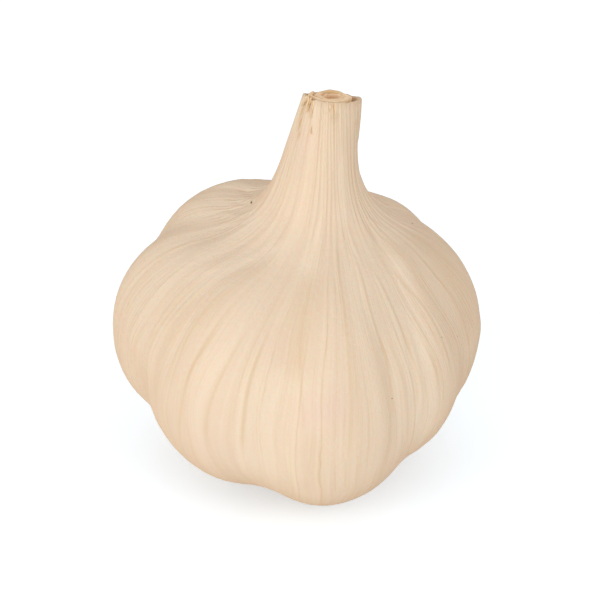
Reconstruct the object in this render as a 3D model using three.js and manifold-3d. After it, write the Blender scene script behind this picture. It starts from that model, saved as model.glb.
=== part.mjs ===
// A whole garlic bulb with its dry papery wrapper, its neck cut off straight and its roots trimmed.
// Millimetres, +Z up. The origin is the centre of the flat spot that the bulb rests on, and the
// side that shows three full lobes faces -Y. The wrapper is drawn tight over the cloves, so it is
// one skin: round each clove it bulges, between two cloves it spans a shallow valley, and towards
// the top it gathers into the ribbed neck. It is found as the level surface of a blended field.

import * as THREE from 'three';
import { mergeVertices } from 'three/addons/utils/BufferGeometryUtils.js';
import Module from 'manifold-3d';

const wasm = await Module();
wasm.setup();

// Driving dimensions of the whole bulb.
const HEIGHT = 64.5;
const CLEARANCE = 0.3;

// The cloves that push the wrapper out, counter-clockwise from the one at the left. Each has the
// direction it lies in (degrees from +X), how far out it reaches from the bulb's axis, half its
// width, and the heights of its belly, its shoulder and its foot.
const CLOVES = [
  { azimuth: 183.5, reach: 30.2, halfWidth: 13.9, belly: 23.9, top: 40.5, foot: 8.5 },
  { azimuth: 235.8, reach: 30.0, halfWidth: 15.2, belly: 23.0, top: 41.5, foot: 4.4 },
  { azimuth: 286.5, reach: 30.0, halfWidth: 14.8, belly: 19.9, top: 39.8, foot: 1.3 },
  { azimuth: 326, reach: 29.2, halfWidth: 11.0, belly: 21.5, top: 37.3, foot: 5.5 },
  { azimuth: 357, reach: 30.0, halfWidth: 13.7, belly: 24.9, top: 41.0, foot: 6.4 },
  { azimuth: 36, reach: 29.3, halfWidth: 12.8, belly: 22.8, top: 40.4, foot: 3.5 },
  { azimuth: 65, reach: 28.3, halfWidth: 12.3, belly: 26.8, top: 38.8, foot: 3.5 },
  { azimuth: 95.5, reach: 28.0, halfWidth: 11.8, belly: 23.8, top: 40.7, foot: 3.5 },
  { azimuth: 132, reach: 29.2, halfWidth: 15.9, belly: 24.2, top: 43.4, foot: 3.5 },
];
const CLOVE_HALF_DEPTH = 14;
const VALLEY_FILL = 1.3;

// The neck: a slender cone that flares where it meets the cloves, a little off the bulb's axis
// and leaning further the same way above its waist, cut off across the top with a slight slope to
// the back and to the right.
const NECK_SHIFT = 3.15;
const NECK_LEAN = 0.165;
const NECK_WAIST = 51.25;
const NECK_BEND = 1.5;
const NECK_TOP_RADIUS = 4.28;
const NECK_TAPER = 0.14;
const NECK_FLARE = 3.2;
const NECK_FLARE_HEIGHT = 45;
const NECK_FLARE_LENGTH = 3.4;
const NECK_SKIRT = 41.5;
const NECK_SKIRT_ROUNDING = 1.2;
const NECK_FILL = 2.5;
const NECK_FOOT = 25;
const CUT_SLOPE = 0.14;
const CUT_SIDE_SLOPE = 0.07;

// The cut end: the wall of the outer sheath and how deep the rolled inner leaves have shrunk.
const SHEATH_WALL = 0.8;
const SHEATH_RECESS = 2.6;
const ROLL_BELOW_RIM = 0.25;
const ROLL_WALL = 0.75;
const ROLL_FLATTENING = 0.14;
const ROLL_RECESS = 1.3;
const ROLL_HEART_RADIUS = 1.1;
const ROLL_HEART_RISE = 0.5;
const ROLL_SIDES = 40;

// The collar where the wrapper ends round the root plate, and the plate itself.
const COLLAR_RADIUS = 9.4;
const COLLAR_HEIGHT = 1.7;
const COLLAR_FILL = 1.0;
const PLATE_RADIUS = 7.6;
const PLATE_THICKNESS = 3.4;
const PLATE_FLAT_RADIUS = 6.4;
const PLATE_WAIST_HEIGHT = 0.9;
const PLATE_SIDES = 44;
const PLATE_RIM_WAVE = 0.15;
const PLATE_RIM_WAVES = 7;

// Trimmed root stubs that lie round the edge of the plate.
const ROOT_COUNT = 22;
const ROOT_UNEVENNESS = 0.3;
const ROOT_RADIUS = 0.36;
const ROOT_TIP_SHARE = 0.62;
const ROOT_START = 5.6;
const ROOT_START_HEIGHT = 0.85;
const ROOT_TIP_HEIGHT = 0.5;
const ROOT_SHORTEST = 8.7;
const ROOT_LENGTH_SPREAD = 1.5;
const ROOT_SIDES = 5;

// Ribs of the wrapper: one ridge and one furrow for every two columns of the skin, strongest on
// the neck and fading over the cloves.
const RIBS = 54;
const COLUMNS = 2 * RIBS;
const ROWS = 44;
const RIB_ON_NECK = 0.17;
const RIB_ON_CLOVES = 0.1;
const RIB_FROM_HEIGHT = 38;
const RIB_FULL_HEIGHT = 47;
const RIB_NONE_BELOW = 3;
const RIB_ON_CLOVES_FROM = 6;

// Rows of the skin from the collar up to the cut: radius and height of a typical point, and the
// height on the axis that the row's points are looked for from.
const ROW_GUIDE = [
  [9.6, 2.4, 22],
  [13.5, 2.0, 22],
  [20.0, 4.0, 22],
  [26.5, 11.0, 22],
  [30.0, 20.5, 22],
  [28.3, 31.0, 22],
  [20.5, 39.5, 24],
  [11.5, 43.0, 31],
  [7.5, 47.5, 40],
  [5.8, 55.5, 52],
  [4.3, HEIGHT, HEIGHT],
];
// The ribs spread from a line beside the axis, under the neck, and come back to the axis only near
// the collar: how far beside it, and the share of the rows by which they are there.
const RIB_SHIFT = 5.3;
const RIBS_SHIFTED = 0.3;
const ROWS_SLOPE_FROM = 0.75;
const SEARCH_STEPS = 32;
const SEARCH_SHARE = 1.5;
const SEARCH_EXTRA = 4;

const WRAPPER_COLOUR = '#efd9c1';
const WRAPPER_ROUGHNESS = 0.62;
const ROLL_COLOUR = '#d8b48f';
const ROLL_ROUGHNESS = 0.8;
const ROOT_COLOUR = '#b89c74';
const ROOT_ROUGHNESS = 0.9;

const smoothStep = THREE.MathUtils.smoothstep;

// Rises from 0 along a line of slope 1, with its corner rounded over the given width.
function softRise(value, width) {
  return width * Math.log1p(Math.exp(Math.min(value / width, 40)));
}

// The smaller of several values, with the step between them filled: the blend is the width times
// the logarithm of the sum of the exponentials of the negated values.
function softLeast(values, width) {
  const least = Math.min(...values);
  const sum = values.reduce((total, value) => total + Math.exp((least - value) / width), 0);
  return least - width * Math.log(sum);
}

function neckCentre(z) {
  return NECK_SHIFT + NECK_LEAN * softRise(z - NECK_WAIST, NECK_BEND);
}

function neckRadius(z) {
  const height = NECK_SKIRT + softRise(z - NECK_SKIRT, NECK_SKIRT_ROUNDING);
  const flare = NECK_FLARE * Math.exp((NECK_FLARE_HEIGHT - height) / NECK_FLARE_LENGTH);
  return NECK_TOP_RADIUS + NECK_TAPER * (HEIGHT - height) + flare;
}

// An egg round one clove: 0 on its surface, negative inside, in about millimetres.
function cloveField(clove, x, y, z) {
  const angle = THREE.MathUtils.degToRad(clove.azimuth);
  const out = x * Math.cos(angle) + y * Math.sin(angle) - (clove.reach - CLOVE_HALF_DEPTH);
  const across = y * Math.cos(angle) - x * Math.sin(angle);
  const up = z - clove.belly;
  const halfHeight = up > 0 ? clove.top - clove.belly : clove.belly - clove.foot;
  const distance = Math.hypot(out / CLOVE_HALF_DEPTH, across / clove.halfWidth, up / halfHeight);
  return (distance - 1) * CLOVE_HALF_DEPTH;
}

// The whole wrapper: cloves blended together, then with the neck, then with the collar.
function wrapperField(x, y, z) {
  const cloves = softLeast(CLOVES.map((clove) => cloveField(clove, x, y, z)), VALLEY_FILL);
  const neck = Math.max(Math.hypot(x - neckCentre(z), y) - neckRadius(z), NECK_FOOT - z);
  const collar = Math.max(Math.hypot(x, y) - COLLAR_RADIUS, COLLAR_HEIGHT - z, z - NECK_FOOT);
  return softLeast([softLeast([cloves, neck], NECK_FILL), collar], COLLAR_FILL);
}

// How far the cut is below its middle, at a place beside and behind the middle of the neck.
function cutDrop(across, deep) {
  return CUT_SLOPE * deep + CUT_SIDE_SLOPE * across;
}

// The point where a ray from inside leaves the wrapper, found by halving the interval.
function skinPoint(origin, direction, farthest) {
  const point = new THREE.Vector3();
  let inside = 0;
  let outside = farthest;
  for (let step = 0; step < SEARCH_STEPS; step += 1) {
    const middle = (inside + outside) / 2;
    point.copy(origin).addScaledVector(direction, middle);
    if (wrapperField(point.x, point.y, point.z) < 0) {
      inside = middle;
    } else {
      outside = middle;
    }
  }
  return point;
}

const rowGuide = new THREE.CatmullRomCurve3(
  ROW_GUIDE.map((row) => new THREE.Vector3(...row)),
  false,
  'catmullrom',
);

// One closed row of skin points, with every other point pulled in a little for the ribs.
function skinRow(share) {
  const { x: radius, y: height, z: heart } = rowGuide.getPoint(share);
  const origin = new THREE.Vector3(RIB_SHIFT * smoothStep(share, 0, RIBS_SHIFTED), 0, heart);
  const sloped = smoothStep(share, ROWS_SLOPE_FROM, 1);
  return Array.from({ length: COLUMNS }, (_, column) => {
    const angle = (2 * Math.PI * column) / COLUMNS;
    const across = radius * Math.cos(angle);
    const deep = radius * Math.sin(angle);
    const rise = height - heart - sloped * cutDrop(across, deep);
    const direction = new THREE.Vector3(across, deep, rise);
    const farthest = SEARCH_SHARE * direction.length() + SEARCH_EXTRA;
    direction.normalize();
    const point = skinPoint(origin, direction, farthest);
    const onNeck = smoothStep(point.z, RIB_FROM_HEIGHT, RIB_FULL_HEIGHT);
    const onCloves = smoothStep(point.z, RIB_NONE_BELOW, RIB_ON_CLOVES_FROM);
    const rib = THREE.MathUtils.lerp(RIB_ON_CLOVES * onCloves, RIB_ON_NECK, onNeck);
    return point.addScaledVector(direction, column % 2 === 0 ? rib : -rib);
  });
}

// A level ring round the bulb's axis.
function levelRing(sides, radiusAt, height) {
  return Array.from({ length: sides }, (_, side) => {
    const angle = (2 * Math.PI * side) / sides;
    const radius = radiusAt(angle);
    return new THREE.Vector3(radius * Math.cos(angle), radius * Math.sin(angle), height);
  });
}

// A ring round the neck's centre line that slopes as the cut does.
function cutRing(sides, radiusAt, height) {
  return levelRing(sides, radiusAt, height).map((point) => new THREE.Vector3(
    neckCentre(height) + point.x,
    point.y,
    height - cutDrop(point.x, point.y),
  ));
}

// A closed body from rings of equal length, listed from the middle of its underside outwards, up
// and in again to the middle of its top. The first and last ring are closed by a fan.
function bodyFromRings(rings, firstCentre, lastCentre) {
  const sides = rings[0].length;
  const points = [...rings.flat(), firstCentre, lastCentre];
  const first = points.length - 2;
  const last = points.length - 1;
  const triangles = [];
  for (let side = 0; side < sides; side += 1) {
    const next = (side + 1) % sides;
    triangles.push(first, next, side);
    for (let row = 0; row + 1 < rings.length; row += 1) {
      const low = row * sides;
      const high = low + sides;
      triangles.push(low + side, low + next, high + next);
      triangles.push(low + side, high + next, high + side);
    }
    const top = (rings.length - 1) * sides;
    triangles.push(last, top + side, top + next);
  }
  const geometry = new THREE.BufferGeometry();
  geometry.setAttribute(
    'position',
    new THREE.Float32BufferAttribute(points.flatMap((point) => point.toArray()), 3),
  );
  geometry.setIndex(triangles);
  geometry.computeVertexNormals();
  return geometry;
}

function toSolid(geometry) {
  const bare = geometry.clone();
  bare.deleteAttribute('normal');
  bare.deleteAttribute('uv');
  const merged = mergeVertices(bare);
  return new wasm.Manifold(new wasm.Mesh({
    numProp: 3,
    vertProperties: new Float32Array(merged.attributes.position.array),
    triVerts: new Uint32Array(merged.index.array),
  }));
}

function toGeometry(solid) {
  const mesh = solid.getMesh();
  const geometry = new THREE.BufferGeometry();
  geometry.setAttribute('position', new THREE.BufferAttribute(mesh.vertProperties, 3));
  geometry.setIndex(new THREE.BufferAttribute(mesh.triVerts, 1));
  geometry.computeVertexNormals();
  return geometry;
}

function part(name, geometry, colour, roughness) {
  const material = new THREE.MeshStandardMaterial({ color: colour, roughness, metalness: 0 });
  const mesh = new THREE.Mesh(geometry, material);
  mesh.name = name;
  return mesh;
}

// The wrapper with its cloves inside: pocket for the root plate, skin, rim and recess of the cut.
function bulb() {
  const pocketRadius = PLATE_RADIUS + PLATE_RIM_WAVE + CLEARANCE;
  const pocketRoof = PLATE_THICKNESS + CLEARANCE;
  const recessRadius = NECK_TOP_RADIUS - SHEATH_WALL;
  const recessFloor = HEIGHT - SHEATH_RECESS;
  const round = (radius) => () => radius;
  const skin = Array.from({ length: ROWS }, (_, row) => skinRow(row / (ROWS - 1)));
  return bodyFromRings(
    [
      levelRing(COLUMNS, round(pocketRadius), pocketRoof),
      levelRing(COLUMNS, round(pocketRadius), COLLAR_HEIGHT),
      ...skin,
      cutRing(COLUMNS, round(recessRadius), HEIGHT),
      cutRing(COLUMNS, round(recessRadius), recessFloor),
    ],
    new THREE.Vector3(0, 0, pocketRoof),
    new THREE.Vector3(neckCentre(recessFloor), 0, recessFloor),
  );
}

// The rolled inner leaves in the cut end: a short sleeve, flatter from front to back than from
// side to side, with a sunken middle in which the dry heart of the stalk stands up again.
function neckCore() {
  const full = NECK_TOP_RADIUS - SHEATH_WALL - CLEARANCE;
  const floor = HEIGHT - SHEATH_RECESS + CLEARANCE;
  const rim = HEIGHT - ROLL_BELOW_RIM;
  const well = rim - ROLL_RECESS;
  const outer = (angle) => full * (1 - ROLL_FLATTENING * Math.sin(angle) ** 2);
  const inner = (angle) => outer(angle) - ROLL_WALL;
  const heart = () => ROLL_HEART_RADIUS;
  const tip = well + ROLL_HEART_RISE;
  return bodyFromRings(
    [
      cutRing(ROLL_SIDES, outer, floor),
      cutRing(ROLL_SIDES, outer, rim),
      cutRing(ROLL_SIDES, inner, rim),
      cutRing(ROLL_SIDES, inner, well),
      cutRing(ROLL_SIDES, heart, well),
    ],
    new THREE.Vector3(neckCentre(floor), 0, floor),
    new THREE.Vector3(neckCentre(tip), 0, tip),
  );
}

// One trimmed root: a tapered prism that lies outwards from inside the plate.
function rootStub(index) {
  const turn = (index + ROOT_UNEVENNESS * Math.sin(5 * index)) / ROOT_COUNT;
  const end = ROOT_SHORTEST + ROOT_LENGTH_SPREAD * Math.abs(Math.sin(3 * index + 1));
  const length = end - ROOT_START;
  const tipRadius = ROOT_TIP_SHARE * ROOT_RADIUS;
  const stub = new THREE.CylinderGeometry(tipRadius, ROOT_RADIUS, length, ROOT_SIDES);
  stub.translate(0, length / 2, 0);
  stub.rotateZ(-Math.PI / 2 - Math.atan2(ROOT_START_HEIGHT - ROOT_TIP_HEIGHT, length));
  stub.rotateX(Math.PI / 2);
  stub.translate(ROOT_START, 0, ROOT_START_HEIGHT);
  stub.rotateZ(2 * Math.PI * turn);
  return stub;
}

// The corky plate that the roots grow from, flat underneath where the bulb stands.
function rootPlate() {
  const wave = (radius) => (angle) => radius + PLATE_RIM_WAVE * Math.sin(PLATE_RIM_WAVES * angle);
  const plate = bodyFromRings(
    [
      levelRing(PLATE_SIDES, () => PLATE_FLAT_RADIUS, 0),
      levelRing(PLATE_SIDES, wave(PLATE_RADIUS), PLATE_WAIST_HEIGHT),
      levelRing(PLATE_SIDES, wave(PLATE_RADIUS), PLATE_THICKNESS),
    ],
    new THREE.Vector3(0, 0, 0),
    new THREE.Vector3(0, 0, PLATE_THICKNESS),
  );
  const stubs = Array.from({ length: ROOT_COUNT }, (_, index) => toSolid(rootStub(index)));
  return toGeometry(stubs.reduce((joined, stub) => joined.add(stub), toSolid(plate)));
}

const garlic = new THREE.Group();
garlic.add(part('bulb', bulb(), WRAPPER_COLOUR, WRAPPER_ROUGHNESS));
garlic.add(part('neck_core', neckCore(), ROLL_COLOUR, ROLL_ROUGHNESS));
garlic.add(part('root_plate', rootPlate(), ROOT_COLOUR, ROOT_ROUGHNESS));

export default garlic;
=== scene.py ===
"""A garlic bulb, dressed: papery wrapper, cut neck with its rolled leaves, torn shreds and roots."""

import bpy
import numpy as np
from bpy.props import FloatProperty, FloatVectorProperty, IntProperty, PointerProperty
from bpy.types import Operator, Panel, PropertyGroup
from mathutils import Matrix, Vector


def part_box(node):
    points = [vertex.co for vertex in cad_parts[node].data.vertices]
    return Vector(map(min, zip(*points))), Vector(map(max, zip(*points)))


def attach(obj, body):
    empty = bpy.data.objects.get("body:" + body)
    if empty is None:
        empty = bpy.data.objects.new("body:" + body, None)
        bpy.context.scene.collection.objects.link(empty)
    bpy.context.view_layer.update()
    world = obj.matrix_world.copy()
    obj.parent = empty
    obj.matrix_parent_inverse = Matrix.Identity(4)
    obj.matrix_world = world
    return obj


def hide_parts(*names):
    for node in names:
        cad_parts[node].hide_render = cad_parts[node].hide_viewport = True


bl_info = {
    "name": "Garlic Bulb",
    "version": (1, 0, 0),
    "blender": (4, 5, 0),
    "location": "View3D > Sidebar > Garlic",
    "description": "Dresses a garlic bulb with its papery skin, cut neck, roots and a plain studio",
    "category": "Add Mesh",
}

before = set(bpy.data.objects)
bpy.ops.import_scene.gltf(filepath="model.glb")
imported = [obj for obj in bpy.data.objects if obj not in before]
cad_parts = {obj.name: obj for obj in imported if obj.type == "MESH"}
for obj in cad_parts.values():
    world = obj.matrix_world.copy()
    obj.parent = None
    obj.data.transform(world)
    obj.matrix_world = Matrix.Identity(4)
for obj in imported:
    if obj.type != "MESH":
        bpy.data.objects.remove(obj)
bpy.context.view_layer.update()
BODY = "root"

# All shapes are worked out in millimetres and made in metres.
MM = 0.001
HEIGHT = 64.5

# One line for each clove under the wrapper: direction in degrees, reach from the axis, half
# width, and the heights of its belly, its shoulder and its foot.
CLOVES = (
    (183.5, 30.2, 13.9, 23.9, 40.5, 8.5),
    (235.8, 30.0, 15.2, 23.0, 41.5, 4.4),
    (286.5, 30.0, 14.8, 19.9, 39.8, 1.3),
    (326, 29.2, 11.0, 21.5, 37.3, 5.5),
    (357, 30.0, 13.7, 24.9, 41.0, 6.4),
    (36, 29.3, 12.8, 22.8, 40.4, 3.5),
    (65, 28.3, 12.3, 26.8, 38.8, 3.5),
    (95.5, 28.0, 11.8, 23.8, 40.7, 3.5),
    (132, 29.2, 15.9, 24.2, 43.4, 3.5),
)
CLOVE_HALF_DEPTH = 14.0
VALLEY_FILL = 1.3
# Where the skin spans a valley more tautly: direction and half width in degrees, and extra fill.
TAUT = ((209, 15, 1.4), (306, 10, 0.5))
TAUT_FROM = (20.0, 30.0)

# The neck: its centre line, its cone, its flare over the cloves and the slope of its cut.
NECK_SHIFT = 3.15
NECK_LEAN = 0.165
NECK_WAIST = 51.25
NECK_BEND = 1.5
NECK_TOP_RADIUS = 4.28
NECK_TAPER = 0.14
NECK_FLARE = 3.2
NECK_FLARE_HEIGHT = 45.0
NECK_FLARE_LENGTH = 3.4
NECK_SKIRT = 41.5
NECK_SKIRT_ROUNDING = 1.2
NECK_FILL = 2.5
NECK_FOOT = 25.0
NECK_BEGINS = (38.0, 47.0)
CUT_SLOPE = 0.14
CUT_SIDE_SLOPE = 0.07

# The end of the wrapper round the root plate.
COLLAR_RADIUS = 9.4
COLLAR_HEIGHT = 1.7
COLLAR_FILL = 1.0
POCKET_RADIUS = 8.05
POCKET_ROOF = 3.7
ROLL_DEPTH = 2.3

# Rows of the skin from the collar to the cut: radius and height of a typical point, and the
# height on the axis that the row's points are looked for from.
GUIDE = np.array((
    (9.6, 2.4, 22.0),
    (13.5, 2.0, 22.0),
    (20.0, 4.0, 22.0),
    (26.5, 11.0, 22.0),
    (30.0, 20.5, 22.0),
    (28.3, 31.0, 22.0),
    (20.5, 39.5, 24.0),
    (11.5, 43.0, 31.0),
    (7.5, 47.5, 40.0),
    (5.8, 55.5, 52.0),
    (4.3, HEIGHT, HEIGHT),
))
# The fibres spread from a line beside the axis, and come back to the axis only near the collar.
# Below the shoulder they fan out from the middle of the front.
FIBRE_SHIFT = 5.3
FIBRES_SHIFTED = 0.3
FAN_FROM = np.radians(270.0)
FAN_WIDTH = np.radians(56.0)
FAN = 0.42
FAN_OPENS = (0.38, 0.68)
FAN_CLOSES = (0.0, 0.36)
WOBBLE = 0.008
WOBBLE_BEGINS = (0.0, 0.15)
WOBBLE_ENDS = (0.75, 1.0)
FIRST_COLUMN = np.radians(90.0)
SLOPE_FROM_SHARE = 0.75
SEARCH_STEPS = 30
SEARCH_SHARE = 1.5
SEARCH_EXTRA = 4.0

# The skin's relief: how strong ribs and hollows are on the body and on the neck, the most that
# veins add up to, how tan they are, how far they sway in radians and over what share of the rows
# they fade, and the shares of the rows over which the relief and the cut's edge begin.
RIBS_ON_BODY = 0.12
RIBS_ON_NECK = 1.2
HOLLOWS_ON_NECK = 0.25
HOLLOWS_ON_BODY = 0.75
MOST_VEIN = 1.2
VEIN_TAN = 0.6
VEIN_SWAY = 0.012
VEIN_FADE = 0.12
RELIEF_BEGINS = (0.0, 0.06)
NEAR_RIM = (0.9, 1.0)

# The edge of the cut: its small waves, then its dips by direction in degrees, half width in radians
# and depth, and its lower back, over which the roll stands out.
RIM_RIPPLE = 0.035
RIM_DIPS = ((214.0, 0.22, 0.3), (0.0, 0.4, 0.26))
RIM_BACK = np.radians(95.0)
RIM_BACK_ENDS = (0.9, 1.5)
RIM_BACK_DROP = 0.55
# Its section from the outer edge down the inner wall, as depth and drop, and the thicker wall at
# the right.
RIM_PROFILE = (
    (0.08, -0.05), (0.22, -0.07), (0.36, 0.0), (0.43, 0.14),
    (0.46, 0.5), (0.5, 1.1), (0.6, 1.8), (0.75, 2.5),
)
WALL_THICKER = 0.7
WALL_THICKER_WIDTH = 0.55

# The roll in the cut: half the width and depth of its outline, its two points by direction in
# degrees, half width in radians and height, how far back its middle is, where its outer end starts,
# and the numbers of its points.
ROLL_HALF_WIDTH = 3.2
ROLL_HALF_DEPTH = 3.95
ROLL_TIPS = ((-8.0, 0.28, 0.15), (184.0, 0.32, 0.16))
ROLL_BACKWARD = 0.15
ROLL_START = np.radians(150.0)
ROLL_STEPS = 600
ROLL_SIDES = 14
# Along the leaf from its outer end, places and the values there: how far out the leaf is, its
# thickness and how far its top sinks. Then the waves of its top, and how far it turns to brown.
ROLL_CLOSING = ((0.0, 0.62, 1.0), (1.0, 0.5, 0.14))
ROLL_THICKNESS = ((0.0, 0.1, 0.6, 0.72, 1.0), (0.4, 1.0, 1.0, 0.5, 0.4))
ROLL_SINK = ((0.0, 0.2, 0.5, 0.62, 0.75, 1.0), (-0.14, -0.16, -0.02, 0.2, 0.75, 1.2))
ROLL_RIPPLE = 0.05
ROLL_SHARE = 0.7

# The stalk in the middle of the roll: radius and drop below the cut from its foot to its top, where
# it stands from the neck's centre, its points round a row, and how uneven its sides and top are.
HEART_PROFILE = (
    (0.2, 2.3), (0.5, 2.3), (0.8, 2.2), (0.95, 1.7), (0.95, 1.2), (0.8, 0.85), (0.5, 0.7), (0.2, 0.75),
)
HEART_PLACE = (-1.15, 0.1)
HEART_SIDES = 40
HEART_UNEVEN = 0.09
HEART_LUMPS = 0.05

# The root plate from the middle of its underside up its rim, as radius and height, the radii of its
# top, its points round a row, the height that its underside stays below, how uneven its rim is and
# how deep its pits are.
PLATE_PROFILE = (
    (0.4, 0.0), (1.2, 0.0), (2.0, 0.0), (2.8, 0.0), (3.6, 0.0), (4.4, 0.0), (5.2, 0.0), (6.0, 0.0),
    (6.6, 0.08), (7.1, 0.3), (7.5, 0.7), (7.65, 1.2), (7.6, 2.0),
)
PLATE_TOP_RADII = (7.55, 4.0)
PLATE_SIDES = 160
PLATE_FLAT_BELOW = 0.05
PLATE_UNEVEN = 0.008
PLATE_PITS = 0.12
# Its roots: the least and most of their start, length, height and swing, their points along and
# round, how they taper, bend and droop, and their height over the ground.
ROOT_RANGES = ((6.2, 7.2), (1.2, 2.9), (0.55, 1.25), (-0.35, 0.35))
ROOT_STEPS = 7
ROOT_SIDES = 7
ROOT_TAPER = 0.35
ROOT_BEND = 0.3
ROOT_DROOP = 0.45
ROOT_CLEAR = 0.05

# Stains below the cut, round the neck: direction in degrees, drop below the cut, half width, half
# height and strength.
NECK_STAINS = (
    (203, 1.9, 0.28, 1.5, 0.85),
    (209, 3.9, 0.28, 1.5, 0.85),
    (216, 5.6, 0.24, 1.1, 0.5),
    (206, 0.6, 0.6, 0.7, 0.2),
    (216, 0.7, 0.8, 0.8, 0.25),
    (229, 1.2, 0.25, 1.2, 0.55),
    (239, 4.6, 0.14, 0.8, 0.55),
    (273, 1.6, 0.30, 1.2, 0.35),
    (281, 2.6, 0.5, 1.2, 0.25),
    (338, 3.2, 0.45, 3.6, 0.35),
    (60, 1.0, 0.5, 2.0, 0.4),
    (120, 2.0, 0.4, 2.6, 0.4),
    (155, 0.8, 0.6, 1.4, 0.5),
)
# The neck's radius that their widths are measured at, the height that they stay above, and the tan
# along the edge of the cut with the depth over which it fades.
STAINED_RADIUS = 5.0
STAINS_ABOVE = 45.0
EDGE_TAN = 0.25
EDGE_TAN_DEPTH = 0.35

# Mean distance between the fine lines at the widest part, in metres.
LINE_SPACING = 0.0022

# Torn shreds at the cut: direction in degrees, drop of their root below the cut, length, turn of
# their tip in degrees, how far the tip stands off, half width, and how brown they are.
SHREDS = (
    (201, -0.25, 1.5, 5, 0.35, 0.22, 0.4),
    (207, -0.40, 1.9, -6, 0.45, 0.26, 0.6),
    (212, -0.15, 1.3, 9, 0.60, 0.20, 0.3),
    (218, -0.30, 2.3, 4, 0.30, 0.24, 0.6),
    (223, 0.05, 1.2, -8, 0.40, 0.18, 0.9),
    (229, 0.10, 2.6, 5, 0.22, 0.16, 0.45),
    (238, 4.00, 1.2, 6, 0.14, 0.07, 0.6),
    (268, 0.30, 1.3, -7, 0.12, 0.10, 0.3),
    (275, 0.10, 2.0, 7, 0.11, 0.12, 0.3),
    (148, 1.35, 1.4, 6, 0.30, 0.20, 0.6),
    (74, 0.85, 1.6, -5, 0.25, 0.18, 0.7),
)
# Points along and round a shred, its height over the neck, half its thickness and its bow across.
SHRED_STEPS = 13
SHRED_SIDES = 8
SHRED_CLEAR = 0.04
SHRED_HALF_THICKNESS = 0.05
SHRED_BOW = 0.6

# Folds and furrows of the drawn skin: from a direction in degrees and a share of the rows to
# another, the half width, the height (negative for a furrow) and how tan the line beside it is.
# The wide ones at the end are soft swellings and hollows: between the cloves, on the right one
# and on the neck.
FOLDS = (
    (187, 0.63, 200, 0.47, 0.34, 0.11, 0.3),
    (193, 0.55, 199, 0.38, 0.28, 0.08, 0.4),
    (206, 0.60, 206.5, 0.44, 0.35, 0.12, 0.3),
    (211.5, 0.63, 211, 0.42, 0.26, 0.07, 0.5),
    (215.5, 0.66, 217, 0.44, 0.36, 0.13, 0.4),
    (220.5, 0.64, 221.5, 0.42, 0.40, 0.12, 0.3),
    (226.5, 0.68, 224.5, 0.46, 0.26, 0.07, 0.6),
    (234, 0.71, 229, 0.46, 0.38, 0.10, 0.4),
    (237.5, 0.56, 234, 0.36, 0.24, 0.065, 0.7),
    (243.2, 0.57, 243, 0.36, 0.24, 0.055, 0.6),
    (250.5, 0.57, 250, 0.36, 0.26, 0.075, 0.9),
    (259.7, 0.57, 264.3, 0.40, 0.30, 0.07, 0.4),
    (284.6, 0.72, 286, 0.48, 0.34, 0.11, 0.5),
    (295.7, 0.67, 295.5, 0.50, 0.34, 0.10, 0.5),
    (305.6, 0.66, 311.7, 0.57, 0.34, 0.09, 0.4),
    (311.7, 0.60, 309, 0.44, 0.34, 0.11, 0.5),
    (286.2, 0.57, 284, 0.40, 0.34, -0.14, 0.6),
    (288.4, 0.57, 289.8, 0.34, 0.45, 0.12, 0.2),
    (297.5, 0.57, 292.5, 0.40, 0.42, -0.12, 0.4),
    (299.5, 0.58, 294, 0.36, 0.50, 0.11, 0.1),
    (304.5, 0.58, 301, 0.42, 0.55, 0.10, 0.3),
    (316.5, 0.80, 310.5, 0.71, 0.30, -0.16, 0.3),
    (309, 0.81, 326, 0.76, 0.28, 0.14, 0.0),
    (322, 0.79, 334, 0.74, 0.30, -0.12, 0.2),
    (134, 0.66, 160, 0.75, 0.28, -0.25, 0.9),
    (143, 0.65, 168, 0.745, 0.28, -0.28, 1.0),
    (151, 0.64, 176, 0.735, 0.28, -0.25, 1.0),
    (160, 0.63, 184, 0.73, 0.28, -0.23, 0.9),
    (168, 0.62, 192, 0.725, 0.28, -0.18, 0.7),
    (179, 0.62, 200, 0.725, 0.28, -0.12, 0.5),
    (30, 0.64, 33, 0.46, 0.32, 0.08, 0.4),
    (58, 0.66, 57, 0.42, 0.35, 0.09, 0.5),
    (88, 0.60, 86, 0.40, 0.30, 0.08, 0.6),
    (112, 0.66, 114, 0.46, 0.35, 0.09, 0.4),
    (139, 0.60, 137, 0.42, 0.32, 0.08, 0.5),
    (288, 0.62, 284, 0.28, 1.6, -0.34, 0.0),
    (331, 0.76, 304, 0.42, 3.0, 0.48, 0.0),
    (150, 0.58, 176, 0.73, 2.2, -0.22, 0.0),
    (144, 0.60, 138, 0.76, 1.8, 0.34, 0.0),
    (263, 0.68, 257, 0.48, 2.4, -0.26, 0.0),
    (30.0, 0.50, 30.0, 0.74, 2.2, -0.95, 0.0),
    (38, 0.64, 38, 0.88, 2.5, -0.35, 0.0),
    (2, 0.915, 2, 1.2, 2.3, 0.33, 0.0),
    (2, 0.85, 2, 0.94, 2.4, -0.18, 0.0),
    (357, 0.30, 357, 0.47, 6.5, 0.34, 0.0),
    (182, 0.84, 182, 1.12, 2.4, 0.16, 0.0),
)
# The part of its length over which a fold or strip fades at each end, and the place of the tan line
# as a share of the half width, with its own half width.
STRIP_FADE = 0.25
TAN_BESIDE = 0.8
TAN_HALF_WIDTH = 0.24

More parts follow.
